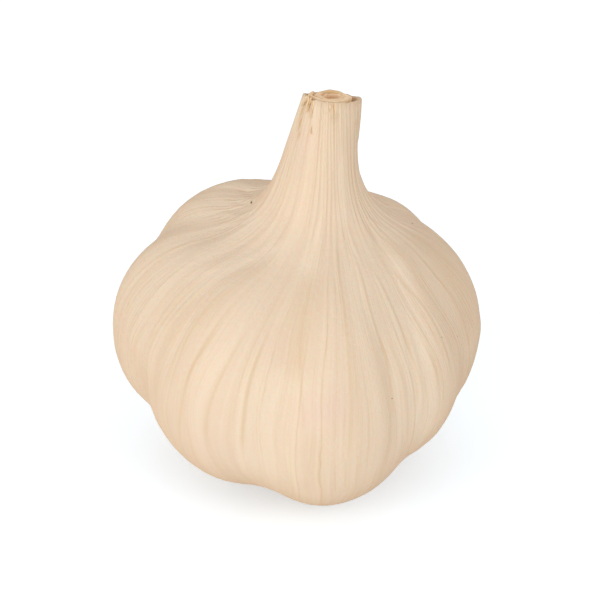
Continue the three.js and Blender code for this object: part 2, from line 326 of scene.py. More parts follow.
# Painted shade and painted light on the skin: dull strips darken it where it should lie in shade, such
# as the valleys between cloves and the right flank, and pale strips lighten it where it lies in
# shadow. Each runs from a direction in degrees and a share of the rows to another, with the half width
# and the strength (negative for a paler one, which is painted light).
PAINTED_SHADING = (
    (352, 0.72, 330, 0.44, 4.2, 0.75),
    (316, 0.70, 299, 0.46, 1.7, -0.5),
    (257, 0.68, 260, 0.48, 3.0, 0.5),
    (284, 0.58, 280.5, 0.32, 1.2, 0.25),
    (220, 0.60, 228, 0.38, 1.6, 0.45),
    (266, 0.44, 267, 0.28, 2.0, 0.35),
    (199.5, 0.53, 190, 0.76, 1.3, -0.7),
    (218, 0.53, 222, 0.67, 1.5, -0.3),
    (211, 0.56, 236, 0.72, 1.3, -0.4),
    (232, 0.60, 229, 0.43, 1.4, 0.35),
    (321, 0.74, 314, 0.45, 2.0, 0.4),
    (282, 0.76, 288, 0.94, 0.9, -0.7),
    (70, 0.68, 60, 0.42, 3.5, 0.4),
    (112, 0.62, 118, 0.40, 2.5, 0.35),
    (24, 0.56, 20, 0.34, 2.5, -0.3),
    (144, 0.58, 128, 0.78, 2.0, -0.7),
)

# Specks of the skin: direction in degrees, share of the rows, radius and strength.
SPECKS = (
    (166.6, 0.703, 0.26, 1.0),
    (311.7, 0.516, 0.16, 0.8),
    (322.1, 0.495, 0.15, 0.8),
    (285.3, 0.451, 0.15, 0.7),
    (1.1, 0.681, 0.20, 0.7),
    (62, 0.52, 0.12, 0.5),
    (101, 0.60, 0.11, 0.4),
    (134, 0.47, 0.13, 0.5),
)
# Step of the share that the skin's stretch is measured over.
SHARE_STEP = 0.005

# Streaks of the skin: name, how fine across and along, shift of the noise, and width of a line.
SKIN_STREAKS = (
    ("broad", 7.0, 1.2, 3.0, 0.05),
    ("middle", 22.0, 1.5, 7.0, 0.02),
    ("fine", 75.0, 4.0, 11.0, 0.05),
    ("neck_fine", 19.0, 1.2, 17.0, 0.04),
)

# In a face across the UV map's seam, corners are further apart than this.
SEAM_STEP = 0.6
# Sockets of a Mix node that is set to colours.
MIX_SHARE, MIX_FIRST, MIX_SECOND, MIX_RESULT = 0, 6, 7, 2

# The stage, in metres: half the floor's side, its corners, and each light's name, place and side.
FLOOR_HALF = 3.0
FLOOR_CORNERS = ((-1, -1), (1, -1), (1, 1), (-1, 1))
LIGHTS = (
    ("left", (-0.85, -0.5, 0.3), 0.5),
    ("low", (-0.3, -0.95, 0.17), 0.3),
    ("right", (0.6, -0.6, 0.55), 0.5),
    ("overhead", (0.0, 0.1, 1.0), 0.6),
)
CLIP_START = 0.01


# Numbers and curves

def directions(count):
    """Directions in radians, equally spaced round a full turn."""
    return np.linspace(0.0, 2.0 * np.pi, count, endpoint=False)


def smooth_step(value, low, high):
    """0 below low, 1 above high, and a cubic S between them."""
    way = np.clip((value - low) / (high - low), 0.0, 1.0)
    return way * way * (3.0 - 2.0 * way)


def bell(value, half_width):
    """1 at zero, falling off on both sides: the exponential of the negated square of the value
    over the half width."""
    return np.exp(-(value / half_width) ** 2)


def soft_rise(value, width):
    """0 that turns into a line of slope 1, the corner rounded over the width."""
    return width * np.logaddexp(0.0, value / width)


def soft_least(fields, width):
    """The least of several fields with the step filled: minus the width times the log of the
    sum of the exponentials of the negated fields."""
    least = np.minimum.reduce(fields)
    total = sum(np.exp((least - field) / width) for field in fields)
    return least - width * np.log(total)


def neck_centre(z):
    """How far the neck's centre line is off the axis towards +X at a height."""
    return NECK_SHIFT + NECK_LEAN * soft_rise(z - NECK_WAIST, NECK_BEND)


def cut_plane(x, y):
    """Height of the neck's cut: higher at the front and at the left."""
    return HEIGHT - CUT_SLOPE * y - CUT_SIDE_SLOPE * (x - neck_centre(HEIGHT))


def neck_radius(z):
    """A cone plus an exponential flare, held from growing further below the skirt's height."""
    height = NECK_SKIRT + soft_rise(z - NECK_SKIRT, NECK_SKIRT_ROUNDING)
    flare = NECK_FLARE * np.exp((NECK_FLARE_HEIGHT - height) / NECK_FLARE_LENGTH)
    return NECK_TOP_RADIUS + NECK_TAPER * (HEIGHT - height) + flare


def clove_field(clove, x, y, z):
    """Distance to an egg with three half axes, scaled by its depth: 0 on it, negative inside."""
    azimuth, reach, half_width, belly, top, foot = clove
    angle = np.radians(azimuth)
    out = x * np.cos(angle) + y * np.sin(angle) - (reach - CLOVE_HALF_DEPTH)
    across = y * np.cos(angle) - x * np.sin(angle)
    up = z - belly
    half_height = np.where(up > 0.0, top - belly, belly - foot)
    squares = (out / CLOVE_HALF_DEPTH) ** 2 + (across / half_width) ** 2 + (up / half_height) ** 2
    return (np.sqrt(squares) - 1.0) * CLOVE_HALF_DEPTH


def wrapper_field(x, y, z):
    """Cloves blended together, then with the neck's cone, then with the collar's short drum."""
    turn = np.arctan2(y, x)
    fill = VALLEY_FILL
    for degrees, half_width, extra in TAUT:
        near = bell(side_distance(turn, np.radians(degrees)), np.radians(half_width))
        fill = fill + extra * near * smooth_step(z, *TAUT_FROM)
    cloves = soft_least([clove_field(clove, x, y, z) for clove in CLOVES], fill)
    neck = np.maximum(np.hypot(x - neck_centre(z), y) - neck_radius(z), NECK_FOOT - z)
    drum = np.maximum(COLLAR_HEIGHT - z, z - NECK_FOOT)
    collar = np.maximum(np.hypot(x, y) - COLLAR_RADIUS, drum)
    return soft_least([soft_least([cloves, neck], NECK_FILL), collar], COLLAR_FILL)


def along_guide(share):
    """Radius, height and heart of each row: a Catmull-Rom curve through the guide's points."""
    before = 2.0 * GUIDE[:1] - GUIDE[1:2]
    after = 2.0 * GUIDE[-1:] - GUIDE[-2:-1]
    points = np.vstack((before, GUIDE, after))
    place = share * (len(GUIDE) - 1)
    index = np.minimum(place.astype(int), len(GUIDE) - 2)
    t = (place - index)[:, None]
    a, b, c, d = (points[index + step] for step in range(4))
    square = (2.0 * a - 5.0 * b + 4.0 * c - d) * t**2
    cube = (3.0 * b - a - 3.0 * c + d) * t**3
    return (0.5 * (2.0 * b + (c - a) * t + square + cube)).T


def fibre_turn(turn, share):
    """Direction of every point of the fibres, which the columns follow: fanned out from the middle
    of the front below the shoulder, and wavering a little."""
    share = share[:, None]
    away = side_distance(turn, FAN_FROM)
    opened = (1.0 - smooth_step(share, *FAN_OPENS)) * smooth_step(share, *FAN_CLOSES)
    fanned = FAN * opened * away * bell(away, FAN_WIDTH)
    wavering = patches(turn, share, np.random.default_rng(3), (3, 24), 7.0, 26)
    ends = smooth_step(share, *WOBBLE_BEGINS) * (1.0 - smooth_step(share, *WOBBLE_ENDS))
    return turn + fanned + WOBBLE * ends * wavering


def skin_points(turn, share):
    """Where rays from the bulb's heart leave the wrapper's field. A ray's direction turns with
    the column and tips with the row, and its length is found by halving an interval."""
    turn = fibre_turn(turn, share)
    radius, height, heart = (value[:, None] for value in along_guide(share))
    shift = FIBRE_SHIFT * smooth_step(share, 0.0, FIBRES_SHIFTED)[:, None]
    sloped = smooth_step(share, SLOPE_FROM_SHARE, 1.0)[:, None]
    across = radius * np.cos(turn)
    deep = radius * np.sin(turn)
    rise = height - heart - sloped * (CUT_SLOPE * deep + CUT_SIDE_SLOPE * across)
    length = np.sqrt(across**2 + deep**2 + rise**2)
    rays = np.stack((across, deep, rise), -1) / length[..., None]
    start = np.zeros_like(rays)
    start[..., 0] = shift
    start[..., 2] = heart
    inside = np.zeros_like(length)
    outside = SEARCH_SHARE * length + SEARCH_EXTRA
    for _ in range(SEARCH_STEPS):
        middle = (inside + outside) / 2.0
        points = start + rays * middle[..., None]
        within = wrapper_field(*np.moveaxis(points, -1, 0)) < 0.0
        inside = np.where(within, middle, inside)
        outside = np.where(within, outside, middle)
    return points


def grid_normals(points):
    """Unit normals of a grid closed round its columns: the step round a row crossed with the
    step to the next row."""
    round_step = np.roll(points, -1, 1) - np.roll(points, 1, 1)
    up_step = np.gradient(points, axis=0)
    normals = np.cross(round_step, up_step)
    return normals / np.linalg.norm(normals, axis=-1, keepdims=True)


def waves(turn, share, draw, lowest, highest, count, drift):
    """A sum of cosines round the bulb with whole wave numbers, each with its own start, and
    drifting sideways along the rows. Its usual size is about 1."""
    total = np.zeros(np.broadcast(turn, share).shape)
    for _ in range(count):
        number = draw.integers(lowest, highest + 1)
        start, sway = draw.uniform(0.0, 2.0 * np.pi, 2)
        swing = drift * np.sin(2.0 * np.pi * share * draw.uniform(0.5, 2.0) + sway)
        total += np.cos(number * turn + start + swing)
    return total / np.sqrt(count / 2.0)


def patches(turn, share, draw, numbers, most_cycles, count):
    """A sum of slanting cosine waves round and along the bulb: uneven in both directions, with a
    usual size of about 1."""
    total = np.zeros(np.broadcast(turn, share).shape)
    for _ in range(count):
        number = draw.integers(numbers[0], numbers[1] + 1)
        cycles = draw.uniform(-most_cycles, most_cycles)
        total += np.cos(number * turn + 2.0 * np.pi * (cycles * share + draw.uniform()))
    return total / np.sqrt(count / 2.0)


def side_distance(turn, centre, radius=1.0):
    """How far a point is from a line of constant direction, along its row; in radians where no
    radius is given."""
    return (np.mod(turn - centre + np.pi, 2.0 * np.pi) - np.pi) * radius


def veins(turn, share, radius, draw, count, width):
    """Thin lines up the skin: a bell curve across each, swaying a little and fading at its ends."""
    total = np.zeros(np.broadcast(turn, share).shape)
    for index in range(count):
        centre = 2.0 * np.pi * (index + draw.uniform(-0.7, 0.7)) / count
        sway, phase = draw.uniform(0.0, VEIN_SWAY), draw.uniform(0.0, 2.0 * np.pi)
        lowest, highest = draw.uniform(0.0, 0.35), draw.uniform(0.6, 1.0)
        strength = draw.uniform(0.3, 1.0)
        centre = centre + sway * np.sin(9.0 * share + phase)
        near = bell(side_distance(turn, centre, radius), width)
        shown = smooth_step(share, lowest, lowest + VEIN_FADE)
        shown = shown * (1.0 - smooth_step(share, highest - VEIN_FADE, highest))
        total += strength * shown * near
    return total


def strip(turn, share, radius, ends):
    """How far a point is across a line that runs from one direction and share to another, and how
    much of the line is there: it fades at both ends."""
    first_angle, first, last_angle, last = ends
    way = (share - first) / (last - first)
    centre = np.radians(first_angle + (last_angle - first_angle) * way)
    shown = smooth_step(way, 0.0, STRIP_FADE) * (1.0 - smooth_step(way, 1.0 - STRIP_FADE, 1.0))
    return side_distance(turn, centre, radius), shown


def tones(turn, share, radius):
    """How much painted shade and painted light the skin has: a bell curve across each strip of the
    table.
    """
    total = np.zeros(np.broadcast(turn, share).shape)
    for *ends, width, strength in PAINTED_SHADING:
        across, shown = strip(turn, share, radius, ends)
        total += strength * shown * bell(across, width)
    return np.stack((np.clip(total, 0.0, 1.0), np.clip(-total, 0.0, 1.0), 0.0 * total), -1)


def folds(turn, share, radius):
    """Folds and furrows of the drawn skin, each a bell curve across its line that fades at both
    ends, and the tan lines beside them."""
    relief = np.zeros(np.broadcast(turn, share).shape)
    tan = np.zeros_like(relief)
    for *ends, width, height, strength in FOLDS:
        across, shown = strip(turn, share, radius, ends)
        relief += height * shown * bell(across, width)
        tan += strength * shown * bell(across - TAN_BESIDE * width, TAN_HALF_WIDTH)
    return relief, tan


def speck_places():
    """Where each speck is on the UV map, and by how much the map is stretched to make it round and
    1 at its radius."""
    degrees, share, radius, _ = np.array(SPECKS).T
    reach = along_guide(share)[0]
    ahead, behind = (along_guide(share + step)[:2] for step in (SHARE_STEP, -SHARE_STEP))
    speed = np.linalg.norm(ahead - behind, axis=0) / (2.0 * SHARE_STEP)
    u = np.mod((np.radians(degrees) - FIRST_COLUMN) / (2.0 * np.pi), 1.0)
    return np.stack((u, share), -1), np.stack((2.0 * np.pi * reach / radius, speed / radius), -1)


# Meshes

def closed_grid(name, points, layers=None, rise=None):
    """A piece from a grid of points in millimetres, closed round its columns and shut at its first
    and last row by a fan to the row's middle. Layers are vectors kept with every point. With a
    rise for each row, a UV map has the share of the way round and that rise."""
    rows, columns = points.shape[:2]
    row, column = np.meshgrid(np.arange(rows - 1), np.arange(columns), indexing="ij")
    low = row * columns + column
    low_next = row * columns + (column + 1) % columns
    quads = np.stack((low, low_next, low_next + columns, low + columns), -1).reshape(-1, 4)
    first, top = rows * columns, (rows - 1) * columns
    around = np.arange(columns)
    around_next = (around + 1) % columns
    bottom_fan = np.stack((np.full(columns, first), around_next, around), -1)
    top_fan = np.stack((np.full(columns, first + 1), top + around, top + around_next), -1)
    fans = np.vstack((bottom_fan, top_fan))
    points = add_poles(points)
    if signed_volume(points, quads, fans) < 0.0:
        quads, fans = quads[:, ::-1], fans[:, ::-1]
    mesh = bpy.data.meshes.new(name)
    mesh.from_pydata((points * MM).tolist(), [], quads.tolist() + fans.tolist())
    mesh.polygons.foreach_set("use_smooth", np.ones(len(mesh.polygons), dtype=bool))
    for layer, values in (layers or {}).items():
        attribute = mesh.attributes.new(layer, "FLOAT_VECTOR", "POINT")
        attribute.data.foreach_set("vector", add_poles(values).astype(np.float32).ravel())
    if rise is not None:
        round_way = np.append(np.tile(around / columns, rows), (0.5, 0.5))
        up_way = np.append(np.repeat(rise, columns), (rise[0], rise[-1]))
        add_uv_map(mesh, np.stack((round_way, up_way), -1), 4 * len(quads))
    mesh.update()
    return add_object(name, mesh)


def add_uv_map(mesh, point_places, quad_corners):
    """A UV map from each point's place. Corners of quads come first, then those of triangles. In a
    face across the seam, the corners past it go on from 1."""
    corners = np.zeros(len(mesh.loops), dtype=int)
    mesh.loops.foreach_get("vertex_index", corners)
    places = point_places[corners]
    for part, sides in ((places[:quad_corners], 4), (places[quad_corners:], 3)):
        face = part.reshape(-1, sides, 2)
        face[..., 0] += face[..., 0].max(1, keepdims=True) - face[..., 0] > SEAM_STEP
    layer = mesh.uv_layers.new(name="fibres")
    layer.data.foreach_set("uv", places.astype(np.float32).ravel())


def add_object(name, data):
    """An object of its data in the scene, at the origin."""
    made = bpy.data.objects.new(name, data)
    bpy.context.scene.collection.objects.link(made)
    return made


def add_poles(values):
    """The grid's values as one list, then the mean of its first row and the mean of its last."""
    width = values.shape[-1]
    poles = np.stack((values[0].mean(0), values[-1].mean(0)))
    return np.vstack((values.reshape(-1, width), poles))


def signed_volume(points, quads, fans):
    """Six times the volume that the faces hold: positive when they point outwards."""
    triangles = np.vstack((quads[:, (0, 1, 2)], quads[:, (0, 2, 3)], fans))
    a, b, c = (points[triangles[:, corner]] for corner in range(3))
    return np.einsum("ij,ij->i", a, np.cross(b, c)).sum()


def join_pieces(name, pieces):
    """One object from several, with their materials and layers kept."""
    context = {"active_object": pieces[0], "selected_editable_objects": pieces}
    with bpy.context.temp_override(**context):
        bpy.ops.object.join()
    pieces[0].name = name
    pieces[0].data.name = name
    return pieces[0]


def finish_piece(piece, material, slot, *nodes):
    """Gives the piece its material and body, and hides the CAD nodes that it stands for; the slot is
    not used.
    """
    piece.data.materials.clear()
    piece.data.materials.append(material)
    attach(piece, BODY)
    if nodes:
        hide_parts(*nodes)
    return piece


# Shader nodes

def fill_inputs(tree, node, inputs):
    """Sets a node's inputs; an input given as a socket is linked to it."""
    for key, value in inputs.items():
        if isinstance(value, bpy.types.NodeSocket):
            tree.links.new(value, node.inputs[key])
        else:
            node.inputs[key].default_value = value


def add_node(tree, kind, inputs=None, **settings):
    """A node with its settings and inputs."""
    made = tree.nodes.new(kind)
    for key, value in settings.items():
        setattr(made, key, value)
    fill_inputs(tree, made, inputs or {})
    return made


def math_node(tree, operation, first, second=0.0, clamp=False):
    """The output of a Math node."""
    settings = {"operation": operation, "use_clamp": clamp}
    return add_node(tree, "ShaderNodeMath", {0: first, 1: second}, **settings).outputs[0]


def product(tree, first, second, clamp=False):
    """One value times another."""
    return math_node(tree, "MULTIPLY", first, second, clamp)


def split(tree, vector):
    """The three parts of a vector."""
    return add_node(tree, "ShaderNodeSeparateXYZ", {0: vector}).outputs


def combine(tree, *parts):
    """A vector from two or three parts."""
    return add_node(tree, "ShaderNodeCombineXYZ", dict(enumerate(parts))).outputs[0]


def noise_node(tree, place, scale, detail, roughness=0.5):
    """The value of a noise texture."""
    inputs = {"Vector": place, "Scale": scale, "Detail": detail, "Roughness": roughness}
    return add_node(tree, "ShaderNodeTexNoise", inputs).outputs["Fac"]


def remap(tree, value, low, high, out_low=0.0, out_high=1.0, smooth=True):
    """The value carried from low..high to out_low..out_high, held at the ends."""
    inputs = {"Value": value, "From Min": low, "From Max": high}
    inputs.update({"To Min": out_low, "To Max": out_high})
    kind = "SMOOTHSTEP" if smooth else "LINEAR"
    return add_node(tree, "ShaderNodeMapRange", inputs, interpolation_type=kind).outputs["Result"]


def mix_colour(tree, share, first, second):
    """The first colour with a share of the second. Each is a socket or a colour property."""
    ends = [end if isinstance(end, bpy.types.NodeSocket) else (*end, 1.0) for end in (first, second)]
    inputs = {MIX_SHARE: share, MIX_FIRST: ends[0], MIX_SECOND: ends[1]}
    return add_node(tree, "ShaderNodeMix", inputs, data_type="RGBA").outputs[MIX_RESULT]


def bump_node(tree, strength, distance, height, **normal):
    """The normal of a Bump node, on top of another normal where one is given."""
    inputs = {"Strength": strength, "Distance": distance, "Height": height} | normal
    return add_node(tree, "ShaderNodeBump", inputs).outputs["Normal"]


def point_layer(tree, name):
    """A vector layer of the piece's points."""
    return add_node(tree, "ShaderNodeAttribute", attribute_name=name).outputs["Vector"]


def object_place(tree):
    """Places in the piece's own axes."""
    return add_node(tree, "ShaderNodeTexCoord").outputs["Object"]


def fill_fibres(tree, given):
    """Streaks that run up the skin: noise read on a cylinder round the bulb, fine across and long
    along. Value is the noise, Line is 1 where it passes its middle value."""
    x, y, z = split(tree, given["Grain"])
    x, y = (product(tree, part, given["Across"]) for part in (x, y))
    z = math_node(tree, "ADD", product(tree, z, given["Along"]), given["Shift"])
    noise = noise_node(tree, combine(tree, x, y, z), 1.0, 3.0, 0.55)
    off = math_node(tree, "ABSOLUTE", math_node(tree, "SUBTRACT", noise, 0.5))
    off = math_node(tree, "DIVIDE", off, given["Line Width"])
    return noise, math_node(tree, "SUBTRACT", 1.0, off, True)


def fill_lines(tree, given):
    """Fine lines up the skin at uneven distances: points strewn in a row round the bulb, each with a
    line of its own strength that comes and goes on its way up. Line is the thin line and Ridge the
    wider swelling beside it. The lines fade at the seam of the UV map."""
    x, y, _ = split(tree, given["Way"])
    across = product(tree, x, given["Count"])
    along = product(tree, y, given["Breaks"])
    spot = combine(tree, product(tree, across, 0.4), product(tree, along, 3.5))
    shake = math_node(tree, "SUBTRACT", noise_node(tree, spot, 1.0, 2.0), 0.5)
    place = math_node(tree, "ADD", across, product(tree, shake, given["Tremble"]))
    strewn = {"W": place, "Scale": 1.0, "Randomness": 1.0}
    points = add_node(tree, "ShaderNodeTexVoronoi", strewn, voronoi_dimensions="1D").outputs
    chances = add_node(tree, "ShaderNodeSeparateColor", {0: points["Color"]}).outputs
    own_way = combine(tree, product(tree, chances[0], 90.0), along)
    shown = remap(tree, noise_node(tree, own_way, 1.0, 1.0), 0.4, 0.62)
    uneven = math_node(tree, "POWER", chances[1], 1.6)
    strength = product(tree, shown, remap(tree, uneven, 0.0, 1.0, 0.15, 1.15, False))
    from_seam = product(tree, math_node(tree, "PINGPONG", x, 0.5), 300.0, True)
    strength = product(tree, strength, from_seam)
    side = math_node(tree, "SUBTRACT", place, points["W"])
    beside = math_node(tree, "ADD", side, product(tree, given["Ridge Width"], 0.8))
    results = []
    for distance, width in ((side, "Width"), (beside, "Ridge Width")):
        away = math_node(tree, "ABSOLUTE", distance)
        near = remap(tree, away, 0.0, given[width], 1.0, 0.0)
        results.append(product(tree, near, strength))
    return results


def fill_speck(tree, given):
    """One round speck: 1 at its centre on the UV map and 0 from its radius on."""
    kind = "ShaderNodeVectorMath"
    off = add_node(tree, kind, {0: given["Way"], 1: given["Centre"]}, operation="SUBTRACT")
    off = add_node(tree, kind, {0: off.outputs[0], 1: given["Stretch"]}, operation="MULTIPLY")
    away = add_node(tree, kind, {0: off.outputs[0]}, operation="LENGTH").outputs["Value"]
    return (remap(tree, away, 0.5, 1.0, 1.0, 0.0),)


def fill_dry_specks(tree, given):
    """Small scattered spots: cells round random points, of which only some are marked."""
    cells = {"Vector": given["Place"], "Scale": given["Scale"], "Randomness": 1.0}
    points = add_node(tree, "ShaderNodeTexVoronoi", cells).outputs
    chance = add_node(tree, "ShaderNodeSeparateColor", {0: points["Color"]}).outputs[0]
    marked = math_node(tree, "LESS_THAN", chance, given["Share"])
    away = math_node(tree, "DIVIDE", points["Distance"], given["Size"])
    return (product(tree, marked, math_node(tree, "SUBTRACT", 1.0, away, True)),)


# The shared effects: what fills each group, its inputs with their usual values (None for a vector)
# and its outputs.
FIBRES = {"Grain": None, "Across": 10.0, "Along": 1.0, "Shift": 0.0, "Line Width": 0.05}
LINES = {
    "Way": None, "Count": 80.0, "Width": 0.05, "Ridge Width": 0.15, "Breaks": 6.0, "Tremble": 0.3,
}
SPECK = {"Way": None, "Centre": None, "Stretch": None}
DRY_SPECKS = {"Place": None, "Scale": 300.0, "Share": 0.05, "Size": 0.2}
GROUPS = {
    "skin_fibres": (fill_fibres, FIBRES, ("Value", "Line")),
    "skin_lines": (fill_lines, LINES, ("Line", "Ridge")),
    "skin_speck": (fill_speck, SPECK, ("Mask",)),
    "dry_specks": (fill_dry_specks, DRY_SPECKS, ("Mask",)),
}


def shared_group(name):
    """The shader node group of that name with its named sockets, made where it isn't there yet."""
    if name in bpy.data.node_groups:
        return bpy.data.node_groups[name]
    fill, inputs, outputs = GROUPS[name]
    tree = bpy.data.node_groups.new(name, "ShaderNodeTree")
    for label, usual in inputs.items():
        kind = "NodeSocketVector" if usual is None else "NodeSocketFloat"
        socket = tree.interface.new_socket(label, in_out="INPUT", socket_type=kind)
        if usual is not None:
            socket.default_value = usual
    for label in outputs:
        tree.interface.new_socket(label, in_out="OUTPUT", socket_type="NodeSocketFloat")
    given = tree.nodes.new("NodeGroupInput").outputs
    target = tree.nodes.new("NodeGroupOutput")
    fill_inputs(tree, target, dict(zip(outputs, fill(tree, given))))
    return tree


def use_group(tree, name, inputs):
    """Places a shared group in a tree with its own values and gives its outputs."""
    return add_node(tree, "ShaderNodeGroup", inputs, node_tree=shared_group(name)).outputs


def new_material(name):
    """An empty material with its tree and Principled shader."""
    material = bpy.data.materials.new(name)
    material.use_nodes = True
    tree = material.node_tree
    tree.nodes.clear()
    shader = tree.nodes.new("ShaderNodeBsdfPrincipled")
    end = tree.nodes.new("ShaderNodeOutputMaterial")
    tree.links.new(shader.outputs[0], end.inputs["Surface"])
    return material, tree, shader


def skin_marks(tree):
    """The layers of the wrapper's points as sockets by name."""
    marks = {"grain": point_layer(tree, "grain"), "place": object_place(tree)}
    marks["way"] = add_node(tree, "ShaderNodeUVMap", uv_map="fibres").outputs["UV"]
    marks["share"] = split(tree, marks["grain"])["Z"]
    marks["vein"], marks["stain"], marks["neck"] = split(tree, point_layer(tree, "marks"))
    # The painted shade and painted light of the skin's strips.
    marks["dull"], marks["pale"], _ = split(tree, point_layer(tree, "tones"))
    marks["body"] = math_node(tree, "SUBTRACT", 1.0, marks["neck"])
    return marks


def skin_patterns(tree, look, marks):
    """The wrapper's streaks, broad to fine, and its strong and faint lines, by name."""
    patterns = {}
    for name, across, along, shift, line_width in SKIN_STREAKS:
        inputs = {"Grain": marks["grain"], "Across": across, "Along": along, "Shift": shift}
        patterns[name] = use_group(tree, "skin_fibres", inputs | {"Line Width": line_width})
    width, ridge = (
        remap(tree, marks["neck"], 0.0, 1.0, on_body / LINE_SPACING, on_neck)
        for on_body, on_neck in ((look.line_width, 0.24), (look.ridge_width, 0.45))
    )
    strong = {"Count": look.line_count, "Width": width, "Ridge Width": ridge}
    strong |= {"Breaks": 7.0, "Tremble": 0.22}
    faint = {"Count": look.line_count * 3.1, "Width": 0.26, "Ridge Width": 0.45}
    faint |= {"Breaks": 11.0, "Tremble": 0.5}
    for name, inputs in (("strong", strong), ("faint", faint)):
        patterns[name] = use_group(tree, "skin_lines", {"Way": marks["way"]} | inputs)
    return patterns


def skin_colour(tree, look, marks, patterns):
    """The wrapper's colour: cream and light streaks, then one coat over another, each with the
    share of it that shows: dull strips of painted shade and pale strips of painted light, tan fibres,
    light lines, veins, drawn lines with a painted highlight on the swelling beside the strong ones,
    painted shade that makes the skin warmer where it turns away, blushes, stains and specks."""

    def fibres(name, mask, low, high, most):
        """The streaks of that name where the mask is, carried from low..high to 0..most."""
        return remap(tree, product(tree, patterns[name]["Value"], mask), low, high, 0.0, most)

    def drawn(pattern, mask, strength):
        """A pattern where the mask is, with its strength."""
        return product(tree, pattern, product(tree, mask, strength))

    body, neck, place = marks["body"], marks["neck"], marks["place"]
    strong, faint, middle = patterns["strong"], patterns["faint"], patterns["middle"]
    less_on_neck = remap(tree, neck, 0.0, 1.0, 1.0, 0.68)
    line_colour = mix_colour(tree, neck, look.vein, look.neck_line)
    facing = add_node(tree, "ShaderNodeLayerWeight", {"Blend": 0.5}).outputs["Facing"]
    blush = remap(tree, noise_node(tree, place, 60.0, 2.0), 0.55, 0.75, 0.0, 0.3)
    uneven = remap(tree, noise_node(tree, place, 900.0, 3.0), 0.3, 0.65, 0.35, 1.0)
    coats = [
        # Painted shade from the dull strips, then painted light from the pale ones.
        (marks["dull"], look.dull),
        (marks["pale"], look.pale),
        (fibres("middle", body, 0.5, 0.75, 0.22), look.tan),
        (fibres("fine", body, 0.48, 0.75, 0.16), look.tan),
        (fibres("neck_fine", neck, 0.45, 0.75, 0.18), look.tan),
        (remap(tree, marks["share"], 0.66, 0.90, 0.0, 0.22), look.tan),
        (drawn(middle["Line"], body, 0.35), look.light),
        (drawn(marks["vein"], body, look.vein_strength), look.vein),
        # Painted highlight: the swelling beside each strong line is coloured lighter, on top of its
        # bump.
        (drawn(strong["Ridge"], body, 0.35), look.light),
        (drawn(faint["Line"], less_on_neck, look.faint_strength), line_colour),
        (drawn(strong["Line"], less_on_neck, look.line_strength), line_colour),
        # Painted shade: the skin is made warmer and darker where it turns away from the camera.
        (remap(tree, facing, 0.35, 1.0, 0.0, look.painted_edge_shade), look.edge),
        (blush, look.blush),
        (product(tree, marks["stain"], uneven), look.stain),
    ]
    for (*_, strength), centre, stretch in zip(SPECKS, *speck_places()):
        inputs = {"Way": marks["way"], "Centre": (*centre, 0.0), "Stretch": (*stretch, 0.0)}
        mask = use_group(tree, "skin_speck", inputs)["Mask"]
        coats.append((product(tree, mask, strength), look.speck))
    broad = remap(tree, patterns["broad"]["Value"], 0.3, 0.7)
    base = mix_colour(tree, broad, look.cream, look.light)
    for share, coat in coats:
        base = mix_colour(tree, share, base, coat)
    return base


def skin_normal(tree, look, marks, patterns):
    """The wrapper's fine relief: fibres and paper grain, and on top of it the lines' swellings."""
    fine = product(tree, patterns["fine"]["Value"], marks["body"])
    neck_fine = product(tree, patterns["neck_fine"]["Value"], marks["neck"])
    paper = product(tree, noise_node(tree, marks["place"], 1200.0, 4.0), 1.1)
    height = math_node(tree, "ADD", math_node(tree, "ADD", fine, neck_fine), paper)
    normal = bump_node(tree, 0.5, 0.0002, height)
    faint = product(tree, patterns["faint"]["Ridge"], 0.35)
    ridges = math_node(tree, "ADD", patterns["strong"]["Ridge"], faint)
    return bump_node(tree, 1.0, look.line_height, ridges, Normal=normal)


def wrapper_material(look):
    """Cream paper with long streaks, tan veins, a fibrous neck, blushes, stains and specks."""
    material, tree, shader = new_material("papery_wrapper")
    marks = skin_marks(tree)
    patterns = skin_patterns(tree, look, marks)
    fill_inputs(tree, shader, {
        "Base Color": skin_colour(tree, look, marks, patterns),
        "Roughness": remap(tree, patterns["fine"]["Value"], 0.3, 0.7, 0.5, 0.66),
        "Specular IOR Level": 0.2,
        "Subsurface Weight": 0.15,
        "Subsurface Scale": 0.002,
        "Normal": skin_normal(tree, look, marks, patterns),
    })
    return material


def leaf_material(look):
    """The rolled inner leaves: darker, pinkish tan, browner towards the middle and drier at the back
    of the outermost turn. The lighter outer colour is painted light from above, and the browner middle
    is the leaves' own colour with painted shade of the recess."""
    material, tree, shader = new_material("rolled_leaf")
    grain = point_layer(tree, "grain")
    _, backward, share = split(tree, grain)
    streaks = use_group(tree, "skin_fibres", {"Grain": grain, "Across": 5.0, "Along": 2.0})
    spots = noise_node(tree, object_place(tree), 900.0, 3.0)
    # Painted light on the lighter outer turn, and painted shade of the recess in the browner inner
    # turns.
    base = mix_colour(tree, remap(tree, share, 0.1, 0.9), look.outer, look.inner)
    light = remap(tree, streaks["Value"], 0.35, 0.7, 0.0, 0.4)
    base = mix_colour(tree, light, base, look.outer)
    at_back = remap(tree, backward, 0.4, 1.0, 0.0, 0.55)
    outermost = remap(tree, share, 0.2, 0.3, 1.0, 0.0)
    base = mix_colour(tree, product(tree, at_back, outermost), base, look.dry)
    most = remap(tree, share, 0.4, 0.9, 0.08, 0.85)
    brown = product(tree, remap(tree, spots, 0.48, 0.7), most)
    fill_inputs(tree, shader, {
        "Base Color": mix_colour(tree, brown, base, look.brown),
        "Roughness": 0.75,
        "Subsurface Weight": 0.1,
        "Subsurface Scale": 0.001,
        "Normal": bump_node(tree, 0.6, 0.0002, spots),
    })
    return material


